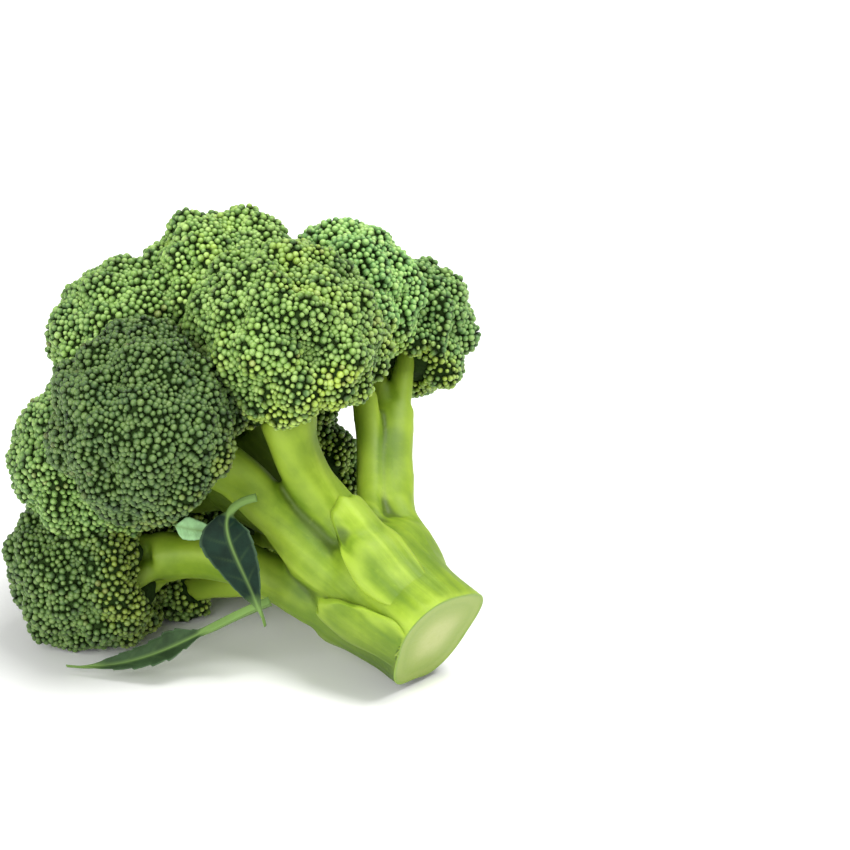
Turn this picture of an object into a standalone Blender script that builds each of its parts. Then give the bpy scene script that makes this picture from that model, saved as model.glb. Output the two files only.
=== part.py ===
"""A cut head of broccoli lying on its side.

The main stalk carries eight outer floret stems and a flared core. Fifteen bud crowns stand on
them, three leaves hang from the stems and two cut petiole stubs stay on the stalk. Everything is
laid out round the stalk's axis: a place is a distance from the axis, an azimuth round it and a
height along it from the cut face. Metres, +Z up, resting on the plane z = 0.
"""

from collections import namedtuple
from math import cos, pi, radians, sin, sqrt

import bmesh
import bpy
from mathutils import Vector

MM = 0.001

# How the head lies: the stalk's axis, from the cut face to the crown.
AXIS_TURN = radians(138.6)
AXIS_RISE = radians(24.8)
CUT_CENTRE = Vector((0.0, 0.0, 16.3 * MM))

# Main stalk.
STALK_LENGTH = 42 * MM
STALK_FOOT_RADIUS = 18.6 * MM
STALK_WAIST_RADIUS = 18.2 * MM
STALK_TOP_RADIUS = 21.0 * MM
SHOULDER_WIDTH = 46
STALK_RIB_DEPTH = 0.035
STALK_SIDES = 28
STALK_RINGS = 8

# Core: the middle stem, which swells under the inner crowns.
CORE_BULB_HEIGHT = 90 * MM
CORE_BULB_RADIUS = 19 * MM
CORE_FOOT_RADIUS = 6.3 * MM
CORE_SIDES = 16

# Crowns.
CROWN_PLANE_HEIGHT = 104 * MM
CROWN_POINTS = 230
SUB_LOBES = 26
SUB_LOBE_DEPTH = 0.10
LIP_COSINE = 0.66
DIMPLE_DEPTH = 0.46
NECK_DEPTH = 0.60

# Stems.
STEM_SIDES = 12
STEM_RINGS = 8
STEM_SPLAY = 1.1

# Leaves.
LEAF_THICKNESS = 0.9 * MM
LEAF_STEPS = 16
LEAF_COLUMNS = 4

GAP = 0.3 * MM
GOLDEN_ANGLE = pi * (3 - sqrt(5))

Floret = namedtuple(
    "Floret",
    "name azimuth reach height size stem_azimuth stem_width stem_depth stem_reach neck_shift",
)
Shoulder = namedtuple("Shoulder", "azimuth rise")
Inner = namedtuple("Inner", "name azimuth reach height size")
Sector = namedtuple("Sector", "low high")

# Outer florets in order round the stalk: degrees and millimetres, heights from the crown plane.
FLORETS = (
    Floret("right", 27, 71, -11, 24.0, 28, 6.4, 5.8, 22.0, 0),
    Floret("back_right", 52, 60, -5, 24.5, 54, 5.0, 5.0, 14.0, 0),
    Floret("upper", 97, 53, -19, 31.5, 107, 8.8, 6.4, 13.4, 7),
    Floret("near", 148, 51, -10, 30.5, 167, 7.2, 6.0, 13.4, 0),
    Floret("lower_left", 222, 54.5, -5, 27.0, 224, 9.6, 5.8, 17.0, 0),
    Floret("small_bottom", 254, 50, -17, 10.0, 252, 3.4, 3.6, 19.0, 0),
    Floret("far_bottom", 296, 48, -5, 22.0, 294, 4.8, 4.8, 13.4, 0),
    Floret("far_middle", 330, 48, -6, 22.0, 332, 4.8, 4.8, 13.4, 0),
)

# Sides on which the stalk swells towards a stem that leaves it low: degrees and millimetres.
SHOULDERS = (
    Shoulder(28, 8.5),
    Shoulder(238, 5.0),
)

# Inner crowns, which stand on the core.
INNER_CROWNS = (
    Inner("top", 85, 43.5, 15, 27.0),
    Inner("top_left", 131, 32, 22, 24.0),
    Inner("left", 183, 40, 9, 25.5),
    Inner("far_left", 262, 33, 16, 26.5),
    Inner("far_right", 320, 34, 18, 26.5),
    Inner("back", 16, 39, 16, 28.0),
    Inner("end", 190, 5, 29, 29.0),
)


# ---------------------------------------------------------------- frame of the head

def head_axes():
    """The stalk's axis, the level direction across it, and the third direction, near vertical."""
    level = cos(AXIS_RISE)
    axis = Vector((cos(AXIS_TURN) * level, sin(AXIS_TURN) * level, sin(AXIS_RISE)))
    across = axis.cross(Vector((0, 0, 1))).normalized()
    return axis, across, across.cross(axis)


AXIS, ACROSS, UPWARD = head_axes()


def radial(azimuth):
    """Unit direction away from the axis at an azimuth in degrees."""
    angle = radians(azimuth)
    return ACROSS * cos(angle) + UPWARD * sin(angle)


def spot(reach, azimuth, height):
    """World point at a distance from the axis, an azimuth and a height above the cut face."""
    return CUT_CENTRE + radial(azimuth) * reach + AXIS * height


def crown_centre(lobe):
    """Centre of a crown, from its row's millimetres."""
    return spot(lobe.reach * MM, lobe.azimuth, CROWN_PLANE_HEIGHT + lobe.height * MM)


def floret_sectors():
    """The wedge round the axis that each outer floret keeps to, shared out by crown size."""
    edges = []
    for floret, following in zip(FLORETS, FLORETS[1:] + FLORETS[:1]):
        span = (following.azimuth - floret.azimuth) % 360
        edges.append(floret.azimuth + span * floret.size / (floret.size + following.size))
    return {f.name: Sector(edges[i - 1], edges[i]) for i, f in enumerate(FLORETS)}


# ---------------------------------------------------------------- half-spaces that part the pieces

def keep_side(point, normal, gap=GAP / 2):
    """Half-space of the points on the normal's side of a plane, moved in by half a gap."""
    return point + normal * gap, normal


def sector_walls(sector):
    """The two planes through the axis that bound an outer floret."""
    low = keep_side(CUT_CENTRE, radial(sector.low + 90))
    high = keep_side(CUT_CENTRE, radial(sector.high - 90))
    return [low, high]


def crown_walls(lobe, others):
    """Planes between one crown and every other crown, nearer the smaller of each two."""
    centre = crown_centre(lobe)
    walls = []
    for other in others:
        apart = crown_centre(other) - centre
        distance = apart.length
        sizes = (lobe.size * MM) ** 2 - (other.size * MM) ** 2
        share = (distance * distance + sizes) / (2 * distance)
        direction = apart.normalized()
        walls.append(keep_side(centre + direction * share, -direction))
    return walls


def ground():
    """The surface that the head lies on."""
    return Vector((0, 0, 0)), Vector((0, 0, 1))


def ray_limit(origin, direction, walls, reach):
    """How far a ray may go before it leaves one of the half-spaces."""
    for point, normal in walls:
        closing = -direction.dot(normal)
        if closing > 1e-6:
            reach = min(reach, (origin - point).dot(normal) / closing)
    return reach


def push_inside(point, walls):
    """The point, moved back onto each plane that it is beyond."""
    for _ in range(3):
        for anchor, normal in walls:
            outside = (point - anchor).dot(normal)
            if outside < 0:
                point = point - normal * outside
    return point


# ---------------------------------------------------------------- shared building

def material(name, colour, roughness):
    """A Principled material of one colour."""
    made = bpy.data.materials.get(name) or bpy.data.materials.new(name)
    made.use_nodes = True
    shader = made.node_tree.nodes["Principled BSDF"]
    shader.inputs["Base Color"].default_value = (*colour, 1)
    shader.inputs["Roughness"].default_value = roughness
    shader.inputs["Metallic"].default_value = 0
    return made


def add_piece(name, bm, finish, sharp_angle=40):
    """Turn a bmesh into a smooth shaded object with its material."""
    bmesh.ops.recalc_face_normals(bm, faces=bm.faces)
    bmesh.ops.triangulate(bm, faces=bm.faces)
    mesh = bpy.data.meshes.new(name)
    bm.to_mesh(mesh)
    bm.free()
    mesh.shade_smooth()
    mesh.set_sharp_from_angle(angle=radians(sharp_angle))
    mesh.materials.append(finish)
    piece = bpy.data.objects.new(name, mesh)
    bpy.context.collection.objects.link(piece)
    return piece


def loft(rings):
    """Closed solid through rings of points, with a flat cap at each end."""
    bm = bmesh.new()
    rows = [[bm.verts.new(point) for point in ring] for ring in rings]
    count = len(rows[0])
    for low, high in zip(rows, rows[1:]):
        for i in range(count):
            j = (i + 1) % count
            bm.faces.new((low[i], low[j], high[j], high[i]))
    bm.faces.new(rows[0][::-1])
    bm.faces.new(rows[-1])
    return bm


def bezier(points, t):
    """Point and unit tangent of a cubic curve."""
    a, b, c, d = points
    s = 1 - t
    place = a * s ** 3 + b * (3 * s * s * t) + c * (3 * s * t * t) + d * t ** 3
    slope = (b - a) * (s * s) + (c - b) * (2 * s * t) + (d - c) * (t * t)
    return place, slope.normalized()


def smooth_step(low, high, value):
    """0 below low, 1 above high and an even S between them."""
    t = min(max((value - low) / (high - low), 0), 1)
    return t * t * (3 - 2 * t)


# ---------------------------------------------------------------- main stalk and core

def stalk_radius(azimuth, height):
    """Radius of the stalk: a slight waist, a flare and a rib below each outer stem."""
    along = height / STALK_LENGTH
    waist = STALK_FOOT_RADIUS + (STALK_WAIST_RADIUS - STALK_FOOT_RADIUS) * smooth_step(0, 0.4, along)
    body = waist + (STALK_TOP_RADIUS - STALK_WAIST_RADIUS) * smooth_step(0.35, 1, along)
    for shoulder in SHOULDERS:
        away = abs((azimuth - shoulder.azimuth + 180) % 360 - 180) / SHOULDER_WIDTH
        body += shoulder.rise * MM * (1 - smooth_step(0, 1, away)) * smooth_step(0.1, 1, along)
    nearest = max(cos(radians(azimuth - f.stem_azimuth)) for f in FLORETS)
    rib = (nearest - 0.96) / 0.04 * STALK_RIB_DEPTH * smooth_step(0, 0.9, along)
    return body * (1 + rib)


def build_stalk():
    """The cut main stalk, trimmed where it rests."""
    rings = []
    for row in range(STALK_RINGS + 1):
        height = STALK_LENGTH * row / STALK_RINGS
        ring = []
        for side in range(STALK_SIDES):
            azimuth = 360 * side / STALK_SIDES
            point = spot(stalk_radius(azimuth, height), azimuth, height)
            ring.append(push_inside(point, [ground()]))
        rings.append(ring)
    finish = material("stalk_green", (0.42, 0.58, 0.10), 0.45)
    add_piece("main_stalk", loft(rings), finish)


def core_profile():
    """Height and radius down the middle stem, its swelling and its round top."""
    bulb_low = CORE_BULB_HEIGHT - CORE_BULB_RADIUS
    profile = [
        (STALK_LENGTH + GAP, CORE_FOOT_RADIUS),
        (STALK_LENGTH + 10 * MM, CORE_FOOT_RADIUS + 0.7 * MM),
        (bulb_low - 6 * MM, CORE_FOOT_RADIUS + 2.2 * MM),
    ]
    for step in range(7):
        angle = radians(-62 + 140 * step / 6)
        profile.append((CORE_BULB_HEIGHT + CORE_BULB_RADIUS * sin(angle), CORE_BULB_RADIUS * cos(angle)))
    return profile


def build_core():
    """The middle stem that carries the inner crowns."""
    rings = []
    for height, radius in core_profile():
        rings.append([spot(radius, 360 * s / CORE_SIDES, height) for s in range(CORE_SIDES)])
    finish = material("core_green", (0.38, 0.52, 0.12), 0.5)
    add_piece("core_stem", loft(rings), finish)


# ---------------------------------------------------------------- floret stems

def stem_approach(floret):
    """Direction in which a stem enters its crown: outwards and on towards the dome."""
    outward = 0.80 if floret.reach > 60 else 0.72
    return (radial(floret.azimuth) * outward + AXIS * sqrt(1 - outward ** 2)).normalized()


def stem_curve(floret):
    """Cubic curve from the stalk's top to the crown's neck."""
    reach = floret.stem_reach * MM
    start = spot(reach, floret.stem_azimuth, STALK_LENGTH + GAP)
    splay = (reach - CORE_FOOT_RADIUS) * STEM_SPLAY / STALK_LENGTH
    departure = (AXIS + radial(floret.stem_azimuth) * splay).normalized()
    approach = stem_approach(floret)
    end = crown_centre(floret) - approach * (floret.size * NECK_DEPTH * MM + GAP)
    end += radial(floret.azimuth + 90) * floret.neck_shift * MM
    pull = (end - start).length
    return start, start + departure * pull * 0.42, end - approach * pull * 0.30, end


def stem_ring(floret, curve, t):
    """One cross-section of a stem: an ellipse, wide round the stalk, swelling at both ends."""
    place, tangent = bezier(curve, t)
    wide = radial(floret.stem_azimuth + 90)
    wide = (wide - tangent * wide.dot(tangent)).normalized()
    deep = tangent.cross(wide)
    swell = 1 - 0.10 * sin(pi * t) + 0.12 * smooth_step(0.7, 1, t)
    base_slim = 1 - 0.12 * (1 - smooth_step(0, 0.3, t))
    width = floret.stem_width * MM * swell * base_slim
    depth = floret.stem_depth * MM * swell
    ring = []
    for side in range(STEM_SIDES):
        angle = 2 * pi * side / STEM_SIDES
        ring.append(place + wide * width * cos(angle) + deep * depth * sin(angle))
    return ring


def build_stem(floret, sector):
    """One outer floret's stem, kept inside its own wedge and above the stalk."""
    curve = stem_curve(floret)
    walls = sector_walls(sector)
    walls.append(keep_side(spot(0, 0, STALK_LENGTH), AXIS, GAP))
    rings = []
    for row in range(STEM_RINGS + 1):
        ring = stem_ring(floret, curve, row / STEM_RINGS)
        rings.append([push_inside(point, walls) for point in ring])
    finish = material("stem_green", (0.45, 0.62, 0.14), 0.45)
    add_piece(floret.name + "_stem", loft(rings), finish)


# ---------------------------------------------------------------- bud crowns

def sphere_points(count, turn=0.0):
    """Directions spread evenly over a sphere on a golden-angle spiral."""
    points = []
    for i in range(count):
        z = 1 - 2 * (i + 0.5) / count
        ring = sqrt(1 - z * z)
        angle = i * GOLDEN_ANGLE + turn
        points.append(Vector((ring * cos(angle), ring * sin(angle), z)))
    return points


def lobed_reach(direction, approach, lobe_directions):
    """Crown radius in one direction, as a share of its size: round sub-lobes and a hollow neck."""
    nearest = max(direction.dot(other) for other in lobe_directions)
    bump = smooth_step(0.90, 1.0, nearest)
    reach = 1 - SUB_LOBE_DEPTH * (1 - bump)
    facing_stem = -direction.dot(approach)
    if facing_stem > LIP_COSINE:
        inward = (facing_stem - LIP_COSINE) / (1 - LIP_COSINE)
        reach = min(reach, 1 - DIMPLE_DEPTH * inward ** 0.6)
    return reach


def build_crown(lobe, approach, walls, colour, turn):
    """One bud crown, round where it is free and flat where it meets its neighbours."""
    centre = crown_centre(lobe)
    lobe_directions = sphere_points(SUB_LOBES, turn)
    bm = bmesh.new()
    for direction in sphere_points(CROWN_POINTS):
        bm.verts.new(direction)
    bmesh.ops.convex_hull(bm, input=bm.verts)
    for vert in bm.verts:
        direction = vert.co.copy()
        reach = lobe.size * MM * lobed_reach(direction, approach, lobe_directions)
        vert.co = centre + direction * ray_limit(centre, direction, walls, reach)
    add_piece(lobe.name + "_crown", bm, material("bud_green_" + lobe.name, colour, 0.7), 180)


def crown_colour(index):
    """Bud green, a little lighter or darker from crown to crown."""
    shift = 0.015 * sin(2.4 * index)
    return 0.10 + shift, 0.19 + shift, 0.05 + 0.5 * shift


def build_crowns(sectors):
    """All the crowns, outer and inner."""
    lobes = FLORETS + INNER_CROWNS
    bulb = spot(0, 0, CORE_BULB_HEIGHT)
    for index, lobe in enumerate(lobes):
        walls = crown_walls(lobe, [other for other in lobes if other is not lobe])
        walls.append(ground())
        outward = (crown_centre(lobe) - bulb).normalized()
        walls.append(keep_side(bulb + outward * CORE_BULB_RADIUS, outward, GAP))
        approach = outward
        if lobe in FLORETS:
            approach = stem_approach(lobe)
            walls += sector_walls(sectors[lobe.name])
        build_crown(lobe, approach, walls, crown_colour(index), index * 0.9)


# ---------------------------------------------------------------- leaves and stubs

def leaf_solid(curve, half_width, facing, fold, base_share=0.25, peak=0.45, wave=0.0):
    """A thin closed leaf along a curve, folded along its midrib, with a wavy margin."""
    rings = []
    for step in range(LEAF_STEPS + 1):
        t = step / LEAF_STEPS
        place, tangent = bezier(curve, t)
        side = tangent.cross(facing).normalized()
        normal = side.cross(tangent)
        outline = smooth_step(0, peak, t) * (1 - smooth_step(peak, 1.02, t) ** 1.3)
        half = half_width * max(outline + base_share * (1 - smooth_step(0, peak, t)), 0.05)
        upper = []
        lower = []
        for column in range(LEAF_COLUMNS + 1):
            across = 2 * column / LEAF_COLUMNS - 1
            lift = abs(across) * half * fold + wave * across * sin(14 * t) * outline
            point = place + side * (half * across) + normal * lift
            upper.append(point + normal * LEAF_THICKNESS / 2)
            lower.append(point - normal * LEAF_THICKNESS / 2)
        rings.append(upper + lower[::-1])
    return loft(rings)


def build_leaves():
    """The short hanging leaf, the long one that reaches the table and a cut one between stems."""
    short_curve = (
        Vector((-64.5, 10.0, 54.0)) * MM,
        Vector((-61.0, 5.5, 49.0)) * MM,
        Vector((-60.5, 2.5, 32.0)) * MM,
        Vector((-53.5, 3.5, 20.5)) * MM,
    )
    bm = leaf_solid(short_curve, 7.6 * MM, Vector((0.25, -1, 0.3)), 0.25, 0.2, 0.5, 0.5 * MM)
    add_piece("short_leaf", bm, material("leaf_green", (0.045, 0.095, 0.05), 0.5))
    long_curve = (
        Vector((-56.0, 10.0, 20.0)) * MM,
        Vector((-70.0, 9.0, 16.5)) * MM,
        Vector((-86.0, 7.0, 1.8)) * MM,
        Vector((-113.0, 13.0, 1.3)) * MM,
    )
    bm = leaf_solid(long_curve, 4.6 * MM, Vector((0, -0.55, 1)), 0.55, 0.38, 0.5, 0.3 * MM)
    add_piece("long_leaf", bm, material("leaf_grey_green", (0.07, 0.12, 0.06), 0.55))
    cut_curve = (
        Vector((-62.0, 20.5, 44.6)) * MM,
        Vector((-68.0, 21.0, 43.0)) * MM,
        Vector((-74.0, 22.5, 43.6)) * MM,
        Vector((-80.0, 24.0, 44.6)) * MM,
    )
    bm = leaf_solid(cut_curve, 3.4 * MM, Vector((0, -0.7, 0.7)), 0.3, 0.5, 0.7)
    add_piece("cut_leaf", bm, material("leaf_blue_green", (0.17, 0.30, 0.12), 0.55))


def stalk_patch(name, azimuth, half_angle, low, high, thickness):
    """A cut petiole's base: a raised patch that follows the stalk's surface."""
    columns = 6
    rows = 5
    rings = []
    for row in range(rows + 1):
        along = row / rows
        height = low + (high - low) * along
        spread = half_angle * (0.55 + 0.45 * sin(pi * (0.15 + 0.7 * along)))
        inner = []
        outer = []
        for column in range(columns + 1):
            across = 2 * column / columns - 1
            place = azimuth + spread * across
            surface = stalk_radius(place, height) + 2 * GAP
            rise = 0.5 * MM + thickness * (1 - across ** 2) * smooth_step(0, 0.9, along)
            inner.append(spot(surface, place, height))
            outer.append(spot(surface + rise, place, height))
        rings.append(outer + inner[::-1])
    add_piece(name, loft(rings), material("stub_green", (0.40, 0.55, 0.12), 0.5))


def build_stubs():
    """The bases of two leaves that were cut off the stalk."""
    stalk_patch("upper_petiole_stub", 120, 26, 8 * MM, 41 * MM, 2.8 * MM)
    stalk_patch("lower_petiole_stub", 178, 26, 4 * MM, 33 * MM, 2.6 * MM)


# ---------------------------------------------------------------- assembly

def clear_scene():
    """Remove whatever the file starts with."""
    for item in list(bpy.data.objects):
        bpy.data.objects.remove(item, do_unlink=True)


def centre_on_origin():
    """Hang every piece on one empty and bring the middle of the footprint to the origin."""
    pieces = [item for item in bpy.data.objects if item.type == "MESH"]
    corners = [vert.co for piece in pieces for vert in piece.data.vertices]
    middle_x = (min(c.x for c in corners) + max(c.x for c in corners)) / 2
    middle_y = (min(c.y for c in corners) + max(c.y for c in corners)) / 2
    lowest = min(c.z for c in corners)
    head = bpy.data.objects.new("broccoli_head", None)
    bpy.context.collection.objects.link(head)
    head.location = (-middle_x, -middle_y, -lowest)
    for piece in pieces:
        piece.parent = head


def main():
    clear_scene()
    sectors = floret_sectors()
    build_stalk()
    build_core()
    for floret in FLORETS:
        build_stem(floret, sectors[floret.name])
    build_crowns(sectors)
    build_leaves()
    build_stubs()
    centre_on_origin()
    bpy.context.view_layer.update()


main()
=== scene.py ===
from collections import namedtuple
from math import atan2, cos, degrees, pi, radians, sin, sqrt

import bmesh
import bpy
import numpy as np
from bpy.props import FloatProperty, FloatVectorProperty, IntProperty, PointerProperty
from bpy.types import Operator, Panel, PropertyGroup
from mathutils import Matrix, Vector, noise
from mathutils.bvhtree import BVHTree


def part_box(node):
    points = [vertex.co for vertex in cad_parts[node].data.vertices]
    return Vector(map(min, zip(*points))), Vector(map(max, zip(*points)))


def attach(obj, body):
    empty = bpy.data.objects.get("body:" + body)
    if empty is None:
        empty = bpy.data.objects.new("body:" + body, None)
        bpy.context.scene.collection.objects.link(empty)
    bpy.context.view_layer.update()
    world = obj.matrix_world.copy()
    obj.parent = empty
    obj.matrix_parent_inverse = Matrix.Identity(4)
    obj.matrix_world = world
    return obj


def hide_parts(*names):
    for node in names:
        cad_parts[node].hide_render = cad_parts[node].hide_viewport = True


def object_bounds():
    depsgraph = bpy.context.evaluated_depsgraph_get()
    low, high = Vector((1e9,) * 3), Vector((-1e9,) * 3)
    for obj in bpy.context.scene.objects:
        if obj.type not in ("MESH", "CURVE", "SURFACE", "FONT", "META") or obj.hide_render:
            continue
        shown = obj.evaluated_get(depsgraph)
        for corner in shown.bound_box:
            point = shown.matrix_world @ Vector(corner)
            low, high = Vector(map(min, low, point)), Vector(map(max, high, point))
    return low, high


bl_info = {
    "name": "Broccoli Head",
    "version": (1, 0, 0),
    "blender": (4, 5, 0),
    "location": "3D View > Sidebar > Broccoli",
    "description": "Grows the buds, stems and leaves of a cut head of broccoli",
    "category": "Add Mesh",
}

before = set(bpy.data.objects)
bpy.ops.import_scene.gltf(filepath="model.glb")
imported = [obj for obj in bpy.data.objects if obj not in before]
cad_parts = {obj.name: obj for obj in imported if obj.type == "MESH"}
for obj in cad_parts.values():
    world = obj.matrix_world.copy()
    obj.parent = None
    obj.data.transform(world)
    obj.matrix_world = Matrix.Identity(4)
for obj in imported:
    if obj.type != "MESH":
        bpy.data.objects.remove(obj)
CAD_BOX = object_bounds()
MM = 0.001

# How the head lies: the stalk's axis, from the cut face to the crown.
AXIS_TURN = radians(138.6)
AXIS_RISE = radians(24.8)
STALK_LENGTH = 42 * MM
CORE_FOOT_RADIUS = 6.3 * MM
CORE_FORK = 70 * MM
CORE_LENGTH = 88 * MM
CROWN_HEART = 90 * MM
# A crown further than this from the axis is entered more from the side.
FAR_CROWN = 62 * MM
STEM_SPLAY = 1.1
STEM_SIDES = 12

# Where the stalk swells towards the stems that leave it low: azimuth in degrees, height in millimetres.
SHOULDERS = ((28, 6.5), (238, 5.0))
SHOULDER_WIDTH = 46

# No piece may have fewer faces than this.
FEWEST_FACES = 1000

OUTER_CROWNS = (
    "right", "back_right", "upper", "near", "lower_left", "small_bottom", "far_bottom", "far_middle",
)
INNER_CROWNS = ("top", "top_left", "left", "far_left", "far_right", "back", "end")

# How blue, how yellow and how light each crown's buds are, from 0 to 1. The lightness is painted light and
# shade: higher where light falls on a crown, lower where it lies in shade.
CROWN_TINTS = {
    "right": (0.7, 0.3, 0.6),
    "back_right": (0.8, 0.3, 1.0),
    "upper": (0.15, 0.75, 0.58),
    "near": (0.5, 0.3, 0.0),
    "lower_left": (0.4, 0.35, 0.12),
    "small_bottom": (0.0, 1.0, 0.5),
    "top": (0.2, 0.9, 0.75),
    "top_left": (0.3, 0.5, 0.55),
}
# How far some crowns swell more than the others, in millimetres.
SWELLINGS = {"top_left": 3.0, "left": 1.0, "top": 1.0}
USUAL_TINT = (0.4, 0.35, 0.45)

# How much wider and deeper than its CAD stem an outer stem is.
THICKNESS = {
    "upper": (1.32, 1.15),
    "near": (1.34, 1.2),
    "lower_left": (1.12, 1.15),
    "right": (1.15, 1.1),
}

# How far an outer stem's middle bends across and up, in millimetres.
SHIFTS = {
    "upper": (-3.5, 1.0),
    "near": (2.5, 3.0),
    "lower_left": (0.0, 4.0),
    "back_right": (20.0, -4.0),
    "right": (9.0, 0.0),
}

# Outline of the stalk's foot, a rounded four-sided shape: degrees and millimetres.
FOOT_OUTLINE = (
    (30, 20.5), (80, 17.6), (133, 21.0), (185, 16.6), (236, 17.2), (263, 15.8), (290, 17.5), (350, 17.2),
)

# How many branches each outer stem splits into, and how far along it, as a share of its length.
FORKS = {
    "right": (3, 0.52),
    "back_right": (3, 0.6),
    "far_bottom": (3, 0.55),
    "far_middle": (3, 0.55),
    "lower_left": (4, 0.80),
}
USUAL_FORK = (4, 0.86)


# ---------------------------------------------------------------- node trees in plain expressions

class Wire:
    """One output of a node. Arithmetic on it adds the Math or Vector Math nodes."""

    def __init__(self, tree, socket):
        self.tree = tree
        self.socket = socket

    def other(self, output):
        """Another output of the same node."""
        return Wire(self.tree, self.socket.node.outputs[output])

    def __add__(self, other):
        return self.tree.arithmetic("ADD", self, other)

    def __radd__(self, other):
        return self.tree.arithmetic("ADD", other, self)

    def __sub__(self, other):
        return self.tree.arithmetic("SUBTRACT", self, other)

    def __rsub__(self, other):
        return self.tree.arithmetic("SUBTRACT", other, self)

    def __mul__(self, other):
        return self.tree.arithmetic("MULTIPLY", self, other)

    def __rmul__(self, other):
        return self.tree.arithmetic("MULTIPLY", other, self)

    def __truediv__(self, other):
        return self.tree.arithmetic("DIVIDE", self, other)

    def __rtruediv__(self, other):
        return self.tree.arithmetic("DIVIDE", other, self)


class NodeTree:
    """Adds nodes to a tree by type, settings and socket values."""

    def __init__(self, tree):
        self.tree = tree

    def node(self, kind, settings=None, inputs=None, output=0):
        """One node: its settings are set first, then its sockets are given values or links."""
        made = self.tree.nodes.new(kind)
        for name, value in (settings or {}).items():
            setattr(made, name, value)
        for name, value in (inputs or {}).items():
            self.feed(made.inputs[name], value)
        return Wire(self, made.outputs[output])

    def feed(self, socket, value):
        """Give a socket a link or a plain value."""
        if isinstance(value, Wire):
            self.tree.links.new(value.socket, socket)
        else:
            socket.default_value = value

    def is_vector(self, value):
        if isinstance(value, Wire):
            return value.socket.type == "VECTOR"
        return not isinstance(value, (int, float))

    def arithmetic(self, operation, first, second):
        """A Math node, or a Vector Math node where a side is a vector."""
        kinds = [self.is_vector(first), self.is_vector(second)]
        if not any(kinds):
            return self.math(operation, first, second)
        if operation == "MULTIPLY" and not all(kinds):
            vector, number = (first, second) if kinds[0] else (second, first)
            return self.vector("SCALE", {0: vector, "Scale": number})
        return self.vector(operation, {0: first, 1: second})

    def math(self, operation, *numbers):
        """A Math node, which gives 1 where a comparison holds."""
        return self.node("ShaderNodeMath", {"operation": operation}, dict(enumerate(numbers)))

    def vector(self, operation, inputs, output="Vector"):
        """A Vector Math node."""
        return self.node("ShaderNodeVectorMath", {"operation": operation}, inputs, output)

    def part(self, vector, axis):
        """One component of a vector."""
        return self.node("ShaderNodeSeparateXYZ", {}, {0: vector}, axis)

    def smooth_step(self, value, low, high):
        """0 below low, 1 above high, an even S between."""
        settings = {"interpolation_type": "SMOOTHSTEP"}
        return self.node("ShaderNodeMapRange", settings, {"Value": value, "From Min": low, "From Max": high})

    def noise(self, vector, scale, detail=2.0, roughness=0.5):
        """Noise from 0 to 1 at a scale in cycles per metre."""
        inputs = {"Vector": vector, "Scale": scale, "Detail": detail, "Roughness": roughness}
        return self.node("ShaderNodeTexNoise", {}, inputs)

    def mix(self, factor, first, second, blend="MIX"):
        """Two colours mixed, each a link or three numbers."""
        inputs = {"Factor": factor}
        for socket, shade in ((6, first), (7, second)):
            inputs[socket] = shade if isinstance(shade, Wire) else (*shade[:3], 1.0)
        return self.node("ShaderNodeMix", {"data_type": "RGBA", "blend_type": blend}, inputs, 2)

    def layer(self, base, shade, value, low, high, most=1.0):
        """Lay a colour over a base where a value rises from low to high."""
        return self.mix(self.smooth_step(value, low, high) * most, base, shade)

    def attributes(self, *names):
        """Named attributes in a material."""
        return [self.node("ShaderNodeAttribute", {"attribute_name": name}, {}, "Fac") for name in names]

    def named(self, name, kind="FLOAT"):
        """A named attribute in a geometry tree."""
        return self.node("GeometryNodeInputNamedAttribute", {"data_type": kind}, {"Name": name})

    def keep(self, geometry, name, value, domain="POINT", kind="FLOAT"):
        """Store a named attribute in a geometry tree."""
        inputs = {"Geometry": geometry, "Name": name, "Value": value}
        return self.node("GeometryNodeStoreNamedAttribute", {"data_type": kind, "domain": domain}, inputs)

    def random(self, low, high, seed):
        """A random number for each element."""
        inputs = {2: low, 3: high, "Seed": seed}
        return self.node("FunctionNodeRandomValue", {"data_type": "FLOAT"}, inputs, 1)


def new_finish(name):
    """A new material, its tree, and each point's place on its object."""
    finish = bpy.data.materials.new(name)
    finish.use_nodes = True
    tree = NodeTree(finish.node_tree)
    return finish, tree, tree.node("ShaderNodeTexCoord", {}, {}, "Object")


def set_surface(tree, values, bump=None):
    """Feed a material's shader. bump is a height, how strongly it shows, and its depth."""
    if bump:
        inputs = dict(zip(("Height", "Strength", "Distance"), bump))
        values["Normal"] = tree.node("ShaderNodeBump", {}, inputs, "Normal")
    shader = tree.tree.nodes["Principled BSDF"]
    for name, value in values.items():
        tree.feed(shader.inputs[name], value)


# ---------------------------------------------------------------- materials

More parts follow.
